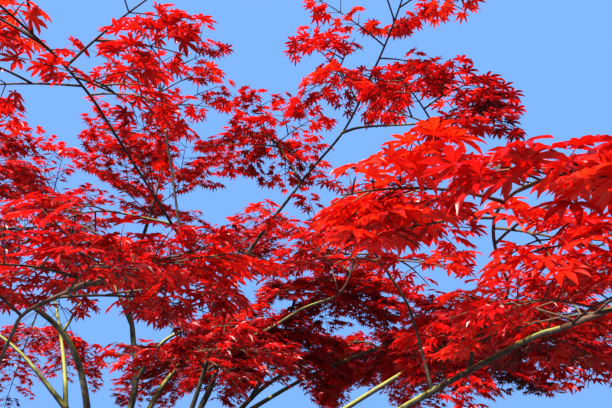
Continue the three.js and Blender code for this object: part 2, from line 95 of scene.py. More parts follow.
# Each limb leaves another (on) at a share of its length (at), falls from base to tip in radius, and follows
# its legs of [heading, rise, run]. Its crown is [heading, out, up] from its tip, then half width and half
# depth.
LIMBS = {
    "middle_stem": {
        "on": "trunk", "at": 0.92, "base": 36, "tip": 12,
        "legs": [[76, 88, 540], [23, 81, 470], [178, 80, 340], [161, 75, 360], [18, 81, 410]],
        "crown": [18, 60, 550, 740, 460],
    },
    "right_leader": {
        "on": "trunk", "at": 0.71, "side": 15, "base": 36, "tip": 5,
        "legs": [
            [12, 73, 600], [-16, 59, 560], [-59, 45, 310], [-69, 61, 510],
            [-41, 41, 710], [-54, 22, 400], [-65, 29, 330],
        ],
        "crown": [-69, 250, 200, 400, 340],
    },
    "left_leader": {
        "on": "trunk", "at": 0.87, "side": -55, "base": 26, "tip": 4.5,
        "legs": [
            [-25, 66, 550], [-4, 60, 500], [-67, 52, 700],
            [-105, 26, 580], [-99, 16, 530], [-86, -2, 250],
        ],
        "crown": [-94, 420, -60, 500, 270],
    },
    "low_right_bough": {
        "on": "trunk", "at": 0.59, "side": -38, "base": 36, "tip": 9,
        "legs": [[-38, 42, 910], [-40, 24, 790], [-43, 25, 550], [-55, 20, 530], [-50, 14, 130]],
        "crown": [-26, 90, 30, 540, 290],
    },
    "left_stem": {
        "on": "trunk", "at": 0.88, "side": -170, "base": 31, "tip": 11,
        "legs": [[-162, 78, 530], [-156, 87, 410], [-154, 63, 500], [-159, 29, 650], [-167, 10, 580]],
        "crown": [-167, 610, -140, 700, 420],
    },
    "front_left_stem": {
        "on": "trunk", "at": 0.68, "side": -118, "base": 28, "tip": 8,
        "legs": [[-124, 56, 810], [-126, 50, 840], [-115, 33, 650], [-99, 13, 470]],
        "crown": [-98, 430, -140, 660, 360],
    },
    "back_left_stem": {
        "on": "trunk", "at": 0.71, "side": 145, "base": 30, "tip": 11,
        "legs": [[143, 57, 770], [133, 56, 840], [131, 42, 980]],
        "crown": [135, 510, -650, 740, 420],
    },
    "back_stem": {
        "on": "trunk", "at": 0.81, "side": 100, "base": 34, "tip": 11,
        "legs": [[95, 63, 700], [79, 50, 720], [84, 17, 1090]],
        "crown": [132, 400, -230, 780, 480],
    },
    "back_right_stem": {
        "on": "trunk", "at": 0.8, "side": 50, "base": 34, "tip": 11,
        "legs": [[47, 49, 760], [34, 45, 790], [37, 22, 950]],
        "crown": [41, 480, -250, 760, 460],
    },
    "left_leader_riser": {
        "on": "left_leader", "at": 0.72, "base": 7, "tip": 5,
        "legs": [[-130, 74, 310], [-118, 69, 230]],
        "crown": [-104, 80, 220, 420, 380],
    },
    "left_leader_side": {
        "on": "left_leader", "at": 0.75, "base": 7, "tip": 5,
        "legs": [[-153, 4, 230]],
        "crown": [-152, 310, -280, 500, 260],
    },
    "left_leader_low": {
        "on": "left_leader", "at": 0.42, "base": 8, "tip": 5,
        "legs": [[-92, 10, 220]],
        "crown": [-74, 330, 0, 480, 290],
    },
    "right_leader_left": {
        "on": "right_leader", "at": 0.79, "base": 7, "tip": 5,
        "legs": [[176, 60, 230]],
        "crown": [136, 110, 70, 420, 300],
    },
    "right_leader_riser": {
        "on": "right_leader", "at": 0.95, "base": 6, "tip": 4.5,
        "legs": [[163, 69, 160]],
        "crown": [-98, 120, -90, 340, 250],
    },
    "right_leader_side": {
        "on": "right_leader", "at": 0.9, "base": 6, "tip": 4.5,
        "legs": [[-51, -14, 140], [-51, -23, 320]],
        "crown": [-84, 170, -130, 350, 220],
    },
    "right_leader_low": {
        "on": "right_leader", "at": 0.47, "base": 13, "tip": 7,
        "legs": [[-44, 6, 390], [-44, 16, 300], [-48, 6, 200]],
        "crown": [-70, 160, 340, 440, 260],
    },
    "low_right_near": {
        "on": "low_right_bough", "at": 0.88, "base": 6.5, "tip": 4.5,
        "legs": [[-70, 57, 130], [-67, 31, 130], [-93, 24, 110], [-118, 15, 140]],
        "crown": [-106, 630, -90, 330, 130],
    },
    "low_right_riser": {
        "on": "low_right_bough", "at": 0.82, "base": 6, "tip": 4.5,
        "legs": [[-132, 70, 210], [-116, 37, 140], [-133, 40, 120]],
        "crown": [-115, 180, 10, 360, 200],
    },
    "low_right_side": {
        "on": "low_right_bough", "at": 0.35, "base": 17, "tip": 10,
        "legs": [[-15, 37, 560], [-7, 30, 810]],
        "crown": [-6, 370, -20, 620, 400],
    },
    "middle_left": {
        "on": "middle_stem", "at": 0.67, "base": 13, "tip": 9,
        "legs": [[162, 54, 360], [167, 44, 380]],
        "crown": [173, 510, 510, 680, 400],
    },
    "middle_right": {
        "on": "middle_stem", "at": 0.5, "base": 14, "tip": 10,
        "legs": [[9, 60, 260], [37, 34, 220]],
        "crown": [13, 550, -250, 640, 440],
    },
    "back_left_side": {
        "on": "back_left_stem", "at": 0.48, "base": 17, "tip": 10,
        "legs": [[173, 40, 620], [170, 28, 580]],
        "crown": [173, 600, -120, 700, 420],
    },
    "back_left_riser": {
        "on": "back_left_stem", "at": 0.75, "base": 12, "tip": 9,
        "legs": [[75, 61, 600]],
        "crown": [86, 320, 280, 680, 400],
    },
    "back_riser": {
        "on": "back_stem", "at": 0.5, "base": 16, "tip": 10,
        "legs": [[40, 56, 480], [51, 63, 410]],
        "crown": [59, 260, 540, 660, 420],
    },
    "back_right_side": {
        "on": "back_right_stem", "at": 0.47, "base": 17, "tip": 10,
        "legs": [[-5, 28, 670], [-9, 20, 600]],
        "crown": [-3, 500, -130, 680, 440],
    },
    "back_right_riser": {
        "on": "back_right_stem", "at": 0.56, "base": 15, "tip": 10,
        "legs": [[-22, 60, 440], [-34, 66, 360]],
        "crown": [-14, 340, -70, 640, 380],
    },
    "front_left_near": {
        "on": "front_left_stem", "at": 0.43, "base": 9, "tip": 5,
        "legs": [[-60, 19, 730], [-57, 7, 800]],
        "crown": [-21, 320, 80, 420, 110],
    },
    "front_left_riser": {
        "on": "front_left_stem", "at": 0.63, "base": 12, "tip": 9,
        "legs": [[165, 72, 670]],
        "crown": [153, 140, 420, 620, 380],
    },
    "left_stem_side": {
        "on": "left_stem", "at": 0.63, "base": 13, "tip": 9,
        "legs": [[-132, 8, 540], [-130, 7, 470]],
        "crown": [-137, 640, -80, 680, 400],
    },
}

# Shoots stand in pairs along a twig, in millimetres, degrees and shares. Slender is how long the first and
# the last of them are, as a share of the longest. Ranges in brackets and plays are dealt out at random.
SHOOT = {
    "spacing": 66, "place": (0.2, 0.6), "angle": 55, "angle_play": 10, "tilt": 28, "tilt_play": 14,
    "lift": 0.12, "slender": 0.22, "bulge": 0.75, "length": (0.75, 1.1), "shortest": 45, "drop": (-0.1, 0.16),
    "arch": 0.08, "base": 2.2, "tip": 1.1, "room": 8, "cut_back": 0.6,
}
ONWARD = {"foot": 0.94, "length": 60}  # the shoot that goes on past a twig's tip

# The nodes of a shoot, where its leaves stand in pairs, and the stalk and the blade of a leaf
NODE = {"first": 0.28, "last": 0.97, "spacing": 36, "place": (0.1, 0.5), "pair": 0.93}
PETIOLE = {"length": (22, 40), "angle": (35, 70), "angle_play": 12, "rise": (-10, 25), "half_width": 0.7}
BLADE = {"size": (46, 60), "droop": (-4, 30), "roll": 17, "level": 0.35}
LEAF_CLEARANCE = 16  # between a leaf's middle and any limb
LEAF_SPACE = {"margin": -0.04, "reach": 1.03}  # leaves may stand a little past the edge of their own space
DRIP = 0.02  # how far a leaf's middle may lie past the box of the solids, as a share of the box's sides
SEEDS = {"mass": 100, "blades": 7}  # of the draws for the first mass, and for the shapes of blade

# Masses over this wide are filled towards their middle: the share of a twig that bears shoots, and how long
# the first and the last of them are, as a share of the longest
FILLED = {"over": 600, "share": 0.86, "slender": 0.45}

# How closely shoots stand in a mass, where that is not 1: the crown is thin in places and dense in others
FULLNESS = {
    "left_leader": 0.29, "left_leader_riser": 0.3, "left_leader_side": 0.85,
    "middle_left": 0.6, "middle_stem": 0.8, "right_leader": 0.8, "right_leader_low": 0.45,
    "right_leader_left": 1.2, "right_leader_riser": 0.85, "low_right_near": 1.6, "low_right_riser": 0.4,
    "front_left_stem": 1.3, "front_left_near": 0.8, "left_stem": 1.2, "left_stem_side": 1.2,
    "middle_right": 3.1, "back_right_riser": 2.1, "back_right_stem": 3.6, "back_stem": 1.6,
    "back_right_side": 2.1, "low_right_side": 2.0, "back_left_side": 1.3, "back_left_riser": 0.9,
    "front_left_riser": 0.8,
}

# The blade, as shares of the middle lobe's length: each lobe's angle from it, length and half width, and the
# notches between the lobes. The edge is a lobe's outline, as shares of its own length and half width.
LOBES = [(0, 1.0, 0.13), (37, 0.93, 0.125), (74, 0.74, 0.11), (118, 0.42, 0.08)]
NOTCHES = (0.36, 0.32, 0.22)
EDGE = ((0.33, 0.55), (0.56, 1.0), (0.8, 0.62))
FOLD = 0.045  # how far the edge stands above the middle of a lobe
PLAIN_NOTCH = 1.2  # the notches of the plain blade are this many times as far out
BLADE_SHAPES = 8  # of the fine blade, and as many of the plain one

# How one shape of blade differs from the next, in shares of its length and degrees
BLADE_PLAY = {
    "droop": (0.06, 0.3), "cup": (-0.05, 0.12), "turn": 4, "length": (0.9, 1.06), "lean": 5,
    "tip_fall": (-0.12, 0.03),
}

# Masses whose leaves are seen from close by: they get the finer blade
CLOSE = (
    "left_leader", "left_leader_riser", "left_leader_side", "right_leader_side", "right_leader_riser",
    "right_leader_low", "low_right_bough", "low_right_near", "low_right_riser", "front_left_near",
)

# The crown as one dome, for painted shade: leaves near its surface get bright colours, those deeper than a
# share of its reach get dark ones that stand in for the shade inside the crown, and over the next share the
# one turns into the other
DOME = {"foot": 1200, "wide": 2900, "high": 2500, "deep": 0.45, "change": 0.5}
SUNLIT = "low_right_near"  # the mass that hangs out in the open on the camera's side
MAIN_SHARE = 0.6  # the share of a twig's shoots that surely have its main colour
COLOUR_PLACE = 0.7  # where along a twig the shares of its colours are read

# Rings and sides of the tubes that are the wood of a mass, and the radius that its stem ends in
STEM_TUBE = {"rings": 16, "sides": 8, "tip": 2.2}
TWIG_TUBE = {"rings": 9, "sides": 5}
SHOOT_TUBE = {"rings": 4, "sides": 3}

# The round limbs: the distance between their rings, and how many sides they have. A limb's root leads its
# foot on into its parent. It starts narrow, is so many radii of the parent long, and follows the parent, out
# from its middle by shares of how far out the limb's foot is. Lead is the share of its length by which it
# comes in along the limb's own line.
RING_STEP = {"trunk": 9, "limb": 13}
LIMB_SIDES = {"trunk": 48, "thick": 18, "thin": 12}
THICK = 20  # radius at its base from which a limb is thick
ROOT = {"length": 3.2, "narrow": 0.5, "foot": 0.35, "halfway": 0.9, "lead": 0.2}
DOMED_TOP = {"from": 0.78, "least": 0.001}  # the trunk's top is rounded off from this share of its length

# The bark's relief: sizes of its ridges, knots and swellings in millimetres, and how far each stands out, as
# a share of the limb's radius
RIDGE = {"wide": 9, "long": 60, "out": 0.05}
KNOT = {"wide": 34, "out": 0.05}
SWELL = {"wide": 160, "out": 0.07}

MOST_FACES = 190000  # triangles in one piece of leaves or twigs


def seeded(seed):
    """The seeded run of numbers from 0 to 1 that the solids were grown with."""
    state = (seed * 2654435761) & 0xFFFFFFFF
    while True:
        state = (state * 1664525 + 1013904223) & 0xFFFFFFFF
        yield state / 2 ** 32


def towards(heading, rise):
    """The unit vector at a heading and a rise."""
    turn, lift = math.radians(heading), math.radians(rise)
    return Vector((math.cos(lift) * math.cos(turn), math.cos(lift) * math.sin(turn), math.sin(lift)))


def partway(start, end, share):
    """What lies a share of the way from start to end."""
    return start + (end - start) * share


def steps(count):
    """Evenly spaced numbers from 0 to 1."""
    return [i / (count - 1) for i in range(count)]


def play(chance, most):
    """A random number of up to the most, either way."""
    return chance.uniform(-most, most)


class Line:
    """A curve that is followed by shares of its own length."""

    STEPS = 200

    def __init__(self, at):
        self.at = at
        places = [at(t) for t in steps(self.STEPS + 1)]
        runs = [(b - a).length for a, b in zip(places, places[1:])]
        self.lengths = np.concatenate([[0], np.cumsum(runs)])
        self.length = float(self.lengths[-1])
        self.start, self.end = places[0], places[-1]

    def along(self, share):
        target = share * self.length
        return float(np.interp(target, self.lengths, np.linspace(0, 1, self.STEPS + 1)))

    def point(self, share):
        return self.at(self.along(share))

    def tangent(self, share):
        t = self.along(share)
        return (self.at(min(t + 1e-4, 1)) - self.at(max(t - 1e-4, 0))).normalized()


def limb_line(start, legs):
    """The smooth line that a limb follows from its start, leg by leg."""
    points = [start]
    for heading, rise, run in legs:
        points.append(points[-1] + towards(heading, rise) * run)
    points = [points[0] * 2 - points[1], *points, points[-1] * 2 - points[-2]]
    spans = len(points) - 3

    def at(t):
        span = min(int(t * spans), spans - 1)
        a, b, c, d = points[span:span + 4]
        w = t * spans - span
        out, into = (c - a) * 0.5, (d - b) * 0.5
        return b + out * w + (c * 3 - b * 3 - out * 2 - into) * w ** 2 + (b * 2 - c * 2 + out + into) * w ** 3

    return Line(at)


def arch_line(start, bend, end):
    """A simple arch from start to end, drawn towards bend."""
    return Line(lambda t: start * (1 - t) ** 2 + bend * (2 * t * (1 - t)) + end * t ** 2)


# Lines and crowns of all limbs, each worked out from the limb that it grows on
limbs = {"trunk": {"line": limb_line(Vector((0, 0, -TRUNK["depth"])), TRUNK["legs"])}}
for name, row in LIMBS.items():
    start = limbs[row["on"]]["line"].point(row["at"])
    if "side" in row:
        start = start + towards(row["side"], 0) * STEM_SPREAD
    line = limb_line(start, row["legs"])
    heading, out, up, wide, deep = row["crown"]
    middle = line.end + towards(heading, 0) * out + Vector((0, 0, up))
    limbs[name] = {**row, "line": line, "middle": middle, "wide": wide, "deep": deep}

names = list(LIMBS)
crown_middles = np.array([limbs[name]["middle"] for name in names])
crown_reaches = np.array([[limbs[name]["wide"], limbs[name]["wide"], limbs[name]["deep"]] for name in names])


def limb_radius(name, share):
    """The radius of a limb at a share of its length, with the collar at its foot."""
    limb = limbs[name]
    collar = COLLAR["swell"] * math.exp(-share * limb["line"].length / COLLAR["length"])
    return partway(limb["tip"], limb["base"], (1 - share) ** TAPER) * (1 + collar)


probe_rows = []
for index, name in enumerate(names):
    count = math.ceil(limbs[name]["line"].length / PROBE)
    for i in range(count + 1):
        place = limbs[name]["line"].point(i / count)
        probe_rows.append([*place, limb_radius(name, i / count), index])
probes = np.array(probe_rows)


def in_own_space(name, points, margin=MARGIN, reach=1.0):
    """Whether points lie in the space that is a crown's own."""
    offsets = (np.asarray(points)[:, None, :] - crown_middles) / crown_reaches
    depths = np.linalg.norm(offsets, axis=2)
    own = depths[:, names.index(name)].copy()
    depths[:, names.index(name)] = np.inf
    return (own < reach) & (own + margin < depths.min(axis=1))


def clear_of_limbs(points, room, name=None):
    """Whether points keep some room to every limb but the one named."""
    others = probes if name is None else probes[probes[:, 4] != names.index(name)]
    clear = np.ones(len(points), bool)
    for i in range(0, len(points), BATCH):
        part = np.asarray(points[i:i + BATCH])
        gaps = np.linalg.norm(part[:, None, :] - others[:, :3], axis=2) - others[:, 3]
        clear[i:i + BATCH] = gaps.min(axis=1) > room
    return clear


def mass_stem(name):
    """The stem of a mass: it goes on from its limb's tip and bends through the middle of the crown."""
    limb = limbs[name]
    middle, wide, deep = limb["middle"], limb["wide"], limb["deep"]
    direction = limb["line"].tangent(1)
    foot = limb["line"].end + direction * GAP
    onward = (middle - foot).normalized()
    reach = 1 / Vector((onward.x / wide, onward.y / wide, onward.z / deep)).length
    end = middle + onward * (MASS_STEM["reach"] * reach)
    bend = foot + direction * (MASS_STEM["bend"] * (end - foot).length)
    return arch_line(foot, bend, end)


def arch_to(foot, end, name):
    """An arching line from a foot towards an end, drawn back until its tip is in the crown's own space."""
    for share in TWIG_LENGTHS:
        tip = foot.lerp(end, share)
        bend = foot.lerp(tip, 0.5)
        bend.z += TWIG_ARCH * (tip - foot).length
        line = arch_line(foot, bend, tip)
        spots = [line.point(share) for share in steps(TWIG_SPOTS)]
        if in_own_space(name, [tip])[0] and clear_of_limbs(spots, CLEARANCE, name).all():
            return line
    return None


def mass_twigs(name, stem, numbers):
    """The twigs of a mass: each aims at a place on a spiral round the crown, leaves the stem where that makes
    about the spray angle, and bears a side twig of its own."""
    limb = limbs[name]
    middle, wide, deep = limb["middle"], limb["wide"], limb["deep"]
    bare = 1 - min(LEAFY["length"] * wide, LEAFY["share"] * stem.length) / stem.length
    count = SPRAYS["small"] if wide < SPRAYS["small_under"] else SPRAYS["large"]
    free = [bare * partway(*SPRAY_FEET, i / (count - 1)) for i in range(count)]
    first_turn = next(numbers) * 360
    twigs = []
    for i in range(count):
        level = partway(*SPRAY_LEVELS, (i + 0.5) / count)
        heading = first_turn + SPRAY_TURN["step"] * i + SPRAY_TURN["play"] * next(numbers)
        aim = towards(heading, 0) * (wide * math.sqrt(1 - level ** 2))
        aim.z = level * deep
        end = middle + aim * SPRAY_REACH

        def miss(share):
            leave = end - stem.point(share)
            return abs(math.degrees(leave.angle(stem.tangent(share))) - SPRAY_ANGLE)

        share = min(free, key=miss)
        free.remove(share)
        hand = 1 if next(numbers) < 0.5 else -1
        twig = arch_to(stem.point(share), end, name)
        if twig is None:
            continue
        twigs.append(twig)
        foot = twig.point(SIDE_SPRAY["share"])
        onward = (twig.end - foot) * SIDE_SPRAY["length"]
        onward.rotate(Quaternion((0, 0, 1), math.radians(hand * SIDE_SPRAY["turn"])))
        side = arch_to(foot, foot + onward, name)
        if side is not None:
            twigs.append(side)
    return twigs


def level_across(direction):
    """The level direction square to another."""
    across = direction.cross(Vector((0, 0, 1)))
    return across.normalized() if across.length > 1e-3 else Vector((1, 0, 0))


def shoots_of(line, wide, fullness, chance):
    """The finer shoots of a twig, from foot to end: pairs along its leafy part, in a sheet that is tilted a
    little."""
    leafy = min(LEAFY["length"] * wide, LEAFY["share"] * line.length)
    pairs = max(1, round(leafy * fullness / SHOOT["spacing"]))
    slender = SHOOT["slender"]
    if wide > FILLED["over"]:
        leafy, slender = FILLED["share"] * line.length, FILLED["slender"]
    tilt = play(chance, SHOOT["tilt"])
    shoots = []
    for i in range(pairs):
        back = 1 - (i + chance.uniform(*SHOOT["place"])) / pairs
        share = 1 - back * leafy / line.length
        foot, along = line.point(share), line.tangent(share)
        across = level_across(along)
        up = across.cross(along)
        swell = math.sin(math.pi * min(back, 0.98) ** SHOOT["bulge"])
        spread = LEAFY["width"] * wide * partway(slender, 1, swell)
        for hand in (-1, 1):
            length = spread * chance.uniform(*SHOOT["length"])
            if length < SHOOT["shortest"]:
                continue
            lean = math.radians(tilt + play(chance, SHOOT["tilt_play"]))
            side = across * (hand * math.cos(lean)) + up * (hand * math.sin(lean) + SHOOT["lift"])
            angle = math.radians(SHOOT["angle"] + play(chance, SHOOT["angle_play"]))
            end = foot + (along * math.cos(angle) + side * math.sin(angle)) * length
            end.z -= chance.uniform(*SHOOT["drop"]) * length
            shoots.append((foot, end))
    return shoots


def shoot_curve(foot, end):
    """Points along a shoot that arches up and over."""
    bend = foot.lerp(end, 0.5)
    bend.z += SHOOT["arch"] * (end - foot).length
    return [foot * (1 - t) ** 2 + bend * (2 * t * (1 - t)) + end * t ** 2 for t in steps(SHOOT_TUBE["rings"])]


def curves_with_room(name, spray, chance):
    """The curves of a twig's shoots, and of the one that goes on from its tip, as far as they have room."""
    shoots = shoots_of(spray, limbs[name]["wide"], FULLNESS.get(name, 1), chance)
    shoots.append((spray.point(ONWARD["foot"]), spray.end + spray.tangent(1) * ONWARD["length"]))
    curves = []
    for foot, end in shoots:
        for share in (1, SHOOT["cut_back"]):
            curve = shoot_curve(foot, foot.lerp(end, share))
            if in_own_space(name, [curve[-1]], 0)[0]:
                if clear_of_limbs(curve[1:], SHOOT["room"], name).all():
                    curves.append(curve)
                break
    return curves


def leaves_of(curve, chance):
    """Leaves on a shoot, in pairs at its nodes and one at its tip: [node, blade's foot, axis, roll, size]."""
    length = sum((b - a).length for a, b in zip(curve, curve[1:]))
    count = max(1, round(length * (1 - NODE["first"]) / NODE["spacing"]))
    spots = [(i + chance.uniform(*NODE["place"])) / count for i in range(count)]
    nodes = [partway(NODE["first"], NODE["last"], spot) for spot in spots]
    leaves = []
    places = [(share, hand) for share in nodes for hand in (-1, 1) if chance.random() < NODE["pair"]]
    for share, hand in [*places, (1, 0)]:
        spot = share * (len(curve) - 1)
        i = min(int(spot), len(curve) - 2)
        node = curve[i].lerp(curve[i + 1], spot - i)
        along = (curve[i + 1] - curve[i]).normalized()
        across = level_across(along)
        turn = math.radians(chance.uniform(*PETIOLE["angle"]) * hand + play(chance, PETIOLE["angle_play"]))
        rise = math.radians(chance.uniform(*PETIOLE["rise"]))
        level = (along * math.cos(turn) + across * math.sin(turn)).normalized()
        petiole = level * math.cos(rise) + Vector((0, 0, math.sin(rise)))
        foot = node + petiole * chance.uniform(*PETIOLE["length"])
        droop = math.radians(chance.uniform(*BLADE["droop"]))
        flat = Vector((level.x, level.y, BLADE["level"] * level.z)).normalized()
        axis = (flat * math.cos(droop) - Vector((0, 0, math.sin(droop)))).normalized()
        roll = math.radians(chance.gauss(0, BLADE["roll"]))
        leaves.append((node, foot, axis, roll, chance.uniform(*BLADE["size"])))
    return leaves


def blade_shape(chance, fine):
    """One blade in its own frame, the middle lobe along X and the upper side along Z. The fine one has lobes
    that swell and taper to a folded tip, the plain one is a star."""
    droop, cup = chance.uniform(*BLADE_PLAY["droop"]), chance.uniform(*BLADE_PLAY["cup"])
    lobes = [(-angle, length, half) for angle, length, half in LOBES[:0:-1]] + LOBES
    lobes = [
        (angle + play(chance, BLADE_PLAY["turn"]), length * chance.uniform(*BLADE_PLAY["length"]), half)
        for angle, length, half in lobes
    ]
    between = [(a + b) / 2 for (a, _, _), (b, _, _) in zip(lobes, lobes[1:])]
    shallow = 1 if fine else PLAIN_NOTCH
    corners, faces = [(0, 0, 0)], []

    def corner(angle, reach, lift):
        turn = math.radians(angle)
        fall = droop * reach ** 2 - cup * math.sin(turn) ** 2 * reach
        corners.append((reach * math.cos(turn), reach * math.sin(turn), lift - fall))
        return len(corners) - 1

    notches = [corner(a, reach * shallow, FOLD) for a, reach in zip(between, [*NOTCHES[::-1], *NOTCHES])]
    notches = [None, *notches, None]
    for i, (angle, length, half) in enumerate(lobes):
        lean, tip_fall = play(chance, BLADE_PLAY["lean"]), chance.uniform(*BLADE_PLAY["tip_fall"])
        tip = corner(angle + lean, length, tip_fall * length)
        if fine:
            low, high = [corner(angle + lean * s, s * length, tip_fall * s * length) for s, _ in EDGE[1:]]
        for hand, notch in ((-1, notches[i]), (1, notches[i + 1])):
            rim = [] if notch is None else [notch]
            outline = EDGE if fine else EDGE[:1 - len(rim)]
            for share, swell in outline:
                reach, out = share * length, half * swell
                swing = hand * math.degrees(math.atan2(out, reach))
                rim.append(corner(angle + swing + lean * share, math.hypot(reach, out), FOLD))
            if fine:
                strip = [(0, a, b) for a, b in zip(rim[:-2], rim[1:-1])]
                strip += [(0, rim[-2], low), (low, rim[-2], rim[-1])]
                strip += [(low, rim[-1], high), (high, rim[-1], tip)]
            else:
                strip = [(0, rim[0], tip)]
            faces += [face if hand < 0 else face[::-1] for face in strip]
    return np.array(corners, float), np.array(faces)


def colour(code):
    """An sRGB hex code as a linear colour."""
    parts = [int(code[i:i + 2], 16) / 255 for i in (1, 3, 5)]
    return (*[p / 12.92 if p <= 0.04045 else ((p + 0.055) / 1.055) ** 2.4 for p in parts], 1)


def add(tree, kind, inputs, **settings):
    """Adds a node with its settings, and its inputs as values or as links."""
    node = tree.nodes.new(kind)
    for key, value in settings.items():
        setattr(node, key, value)
    for socket, value in inputs.items():
        if isinstance(value, bpy.types.NodeSocket):
            tree.links.new(value, node.inputs[socket])
        else:
            node.inputs[socket].default_value = value
    return node


def new_material(name):
    material = bpy.data.materials.new(name)
    material.use_nodes = True
    material.node_tree.nodes.clear()
    return material, material.node_tree


def leaf_material(name, face, glow):
    """A thin living leaf: a half gloss face that is finely puckered between the veins, and light that comes
    through it warmer and brighter."""
    material, tree = new_material(name)
    place = add(tree, "ShaderNodeTexCoord", {}).outputs["Object"]
    # Puckers a little under 4 mm across: 260 to the metre
    puckers = add(tree, "ShaderNodeTexNoise", {"Vector": place, "Scale": 260.0, "Detail": 2.0}).outputs[0]
    bump = add(tree, "ShaderNodeBump", {"Height": puckers, "Strength": 0.35, "Distance": 0.0008})
    gloss = add(tree, "ShaderNodeBsdfPrincipled", {
        "Base Color": colour(face),
        "Roughness": 0.36,
        "IOR": 1.42,
        "Specular IOR Level": 0.5,
        "Normal": bump.outputs[0],
    })
    through = add(tree, "ShaderNodeBsdfTranslucent", {"Color": colour(glow)})
    both = add(tree, "ShaderNodeMixShader", {0: 0.42, 1: gloss.outputs[0], 2: through.outputs[0]})
    add(tree, "ShaderNodeOutputMaterial", {"Surface": both.outputs[0]})
    return material


def bark_material(name, shades, green, streaks_to_metre):
    """Thin smooth bark with fine upright streaks and paler patches, and a lighter green on the sides that
    face
    up: partly a film of algae, partly painted sunlight on the tops."""
    material, tree = new_material(name)
    place = add(tree, "ShaderNodeTexCoord", {}).outputs["Object"]
    # The streaks are more than five times as long as they are wide
    stretched = add(tree, "ShaderNodeMapping", {"Vector": place, "Scale": (1, 1, 0.18)}).outputs[0]
    streaks = add(tree, "ShaderNodeTexNoise", {
        "Vector": stretched,
        "Scale": streaks_to_metre,
        "Detail": 5.0,
        "Roughness": 0.6,
    }).outputs[0]
    streaked = add(tree, "ShaderNodeMix", {
        0: add(tree, "ShaderNodeMapRange", {0: streaks, 1: 0.35, 2: 0.65}).outputs[0],
        6: colour(shades[0]),
        7: colour(shades[1]),
    }, data_type="RGBA").outputs[2]
    # Paler patches, about 26 mm across: 38 to the metre
    patches = add(tree, "ShaderNodeTexNoise", {"Vector": place, "Scale": 38.0, "Detail": 3.0}).outputs[0]
    wood = add(tree, "ShaderNodeMix", {
        0: add(tree, "ShaderNodeMapRange", {0: patches, 1: 0.5, 2: 0.72, 4: 0.6}).outputs[0],
        6: streaked,
        7: colour(shades[2]),
    }, data_type="RGBA").outputs[2]
    # Blotches of algae, about 60 mm across: 16 to the metre
    blotches = add(tree, "ShaderNodeTexNoise", {
        "Vector": place,
        "Scale": 16.0,
        "Detail": 6.0,
        "Roughness": 0.68,
    }).outputs[0]
    # The sides that face up turn a lighter green, in blotches: partly algae, partly painted sunlight
    normal = add(tree, "ShaderNodeNewGeometry", {}).outputs["Normal"]
    facing_up = add(tree, "ShaderNodeSeparateXYZ", {0: normal}).outputs[2]
    upward_algae_and_light = add(tree, "ShaderNodeMath", {0: facing_up, 1: blotches}, operation="ADD").outputs[0]
    algae = add(tree, "ShaderNodeMix", {
        0: add(tree, "ShaderNodeMapRange", {0: upward_algae_and_light, 1: 0.5, 2: 1.05, 4: green}).outputs[0],
        6: wood,
        7: colour("#74742c"),
    }, data_type="RGBA").outputs[2]
    bump = add(tree, "ShaderNodeBump", {"Height": streaks, "Strength": 0.5, "Distance": 0.002})
    face = add(tree, "ShaderNodeBsdfPrincipled", {
        "Base Color": algae,
        "Roughness": 0.78,
        "Normal": bump.outputs[0],
    })
    add(tree, "ShaderNodeOutputMaterial", {"Surface": face.outputs[0]})
    return material


# Leaf colours: face, glow, and their shares of the sprays deep in the crown, at its surface and in the sunlit
# mass. The dark shares deep in the crown are painted shade, the bright ones at the surface and in the sunlit
# mass painted light.
LEAF_COLOURS = {
    "orange_red_leaf": ("#c41c08", "#f8340e", 0.04, 0.16, 0.42),
    "scarlet_leaf": ("#b40c05", "#e81e0a", 0.16, 0.34, 0.32),
    "red_leaf": ("#980806", "#d41408", 0.34, 0.32, 0.2),
    "crimson_leaf": ("#7c0608", "#b80e0c", 0.34, 0.14, 0.06),
    "maroon_leaf": ("#560508", "#900a10", 0.12, 0.04, 0.0),
}
leaf_materials = [leaf_material(name, face, glow) for name, (face, glow, *_) in LEAF_COLOURS.items()]


def colour_shares(name, place):
    """The shares of the leaf colours at a place in a mass, darker towards the crown's middle as painted
    shade.
    """
    # The sunlit mass gets its own bright shares of colour: painted sunlight
    if name == SUNLIT:
        return [sunlit for *_, sunlit in LEAF_COLOURS.values()]
    # Elsewhere the colours darken towards the middle of the crown: painted shade
    height = (place.z - DOME["foot"]) / DOME["high"]
    out = math.hypot(place.x / DOME["wide"], place.y / DOME["wide"], height)
    out = min(max((out - DOME["deep"]) / DOME["change"], 0), 1)
    return [partway(deep, surface, out) for _, _, deep, surface, _ in LEAF_COLOURS.values()]


# The streaks are about 3 mm wide on the limbs and 2 mm on the twigs
# green is how far the upward sides turn light green, as algae and painted sunlight
bark = bark_material("maple_bark", ("#120d09", "#33291e", "#5c5244"), green=0.9, streaks_to_metre=300)
twig_bark = bark_material("twig_bark", ("#22120f", "#46241d", "#5a3a30"), green=0.2, streaks_to_metre=420)


def mesh_piece(name, corners, faces, materials, looks=None, smooth=False):
    """A piece of joined triangles, with a material for each face."""
    mesh = bpy.data.meshes.new(name)
    mesh.from_pydata((corners / METRE).tolist(), [], faces.tolist())
    for material in materials:
        mesh.materials.append(material)
    if looks is not None:
        mesh.polygons.foreach_set("material_index", looks.astype(np.int32))
    mesh.polygons.foreach_set("use_smooth", np.full(len(faces), smooth))
    mesh.update()
    piece = bpy.data.objects.new(name, mesh)
    bpy.context.scene.collection.objects.link(piece)
    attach(piece, "root")
    return piece


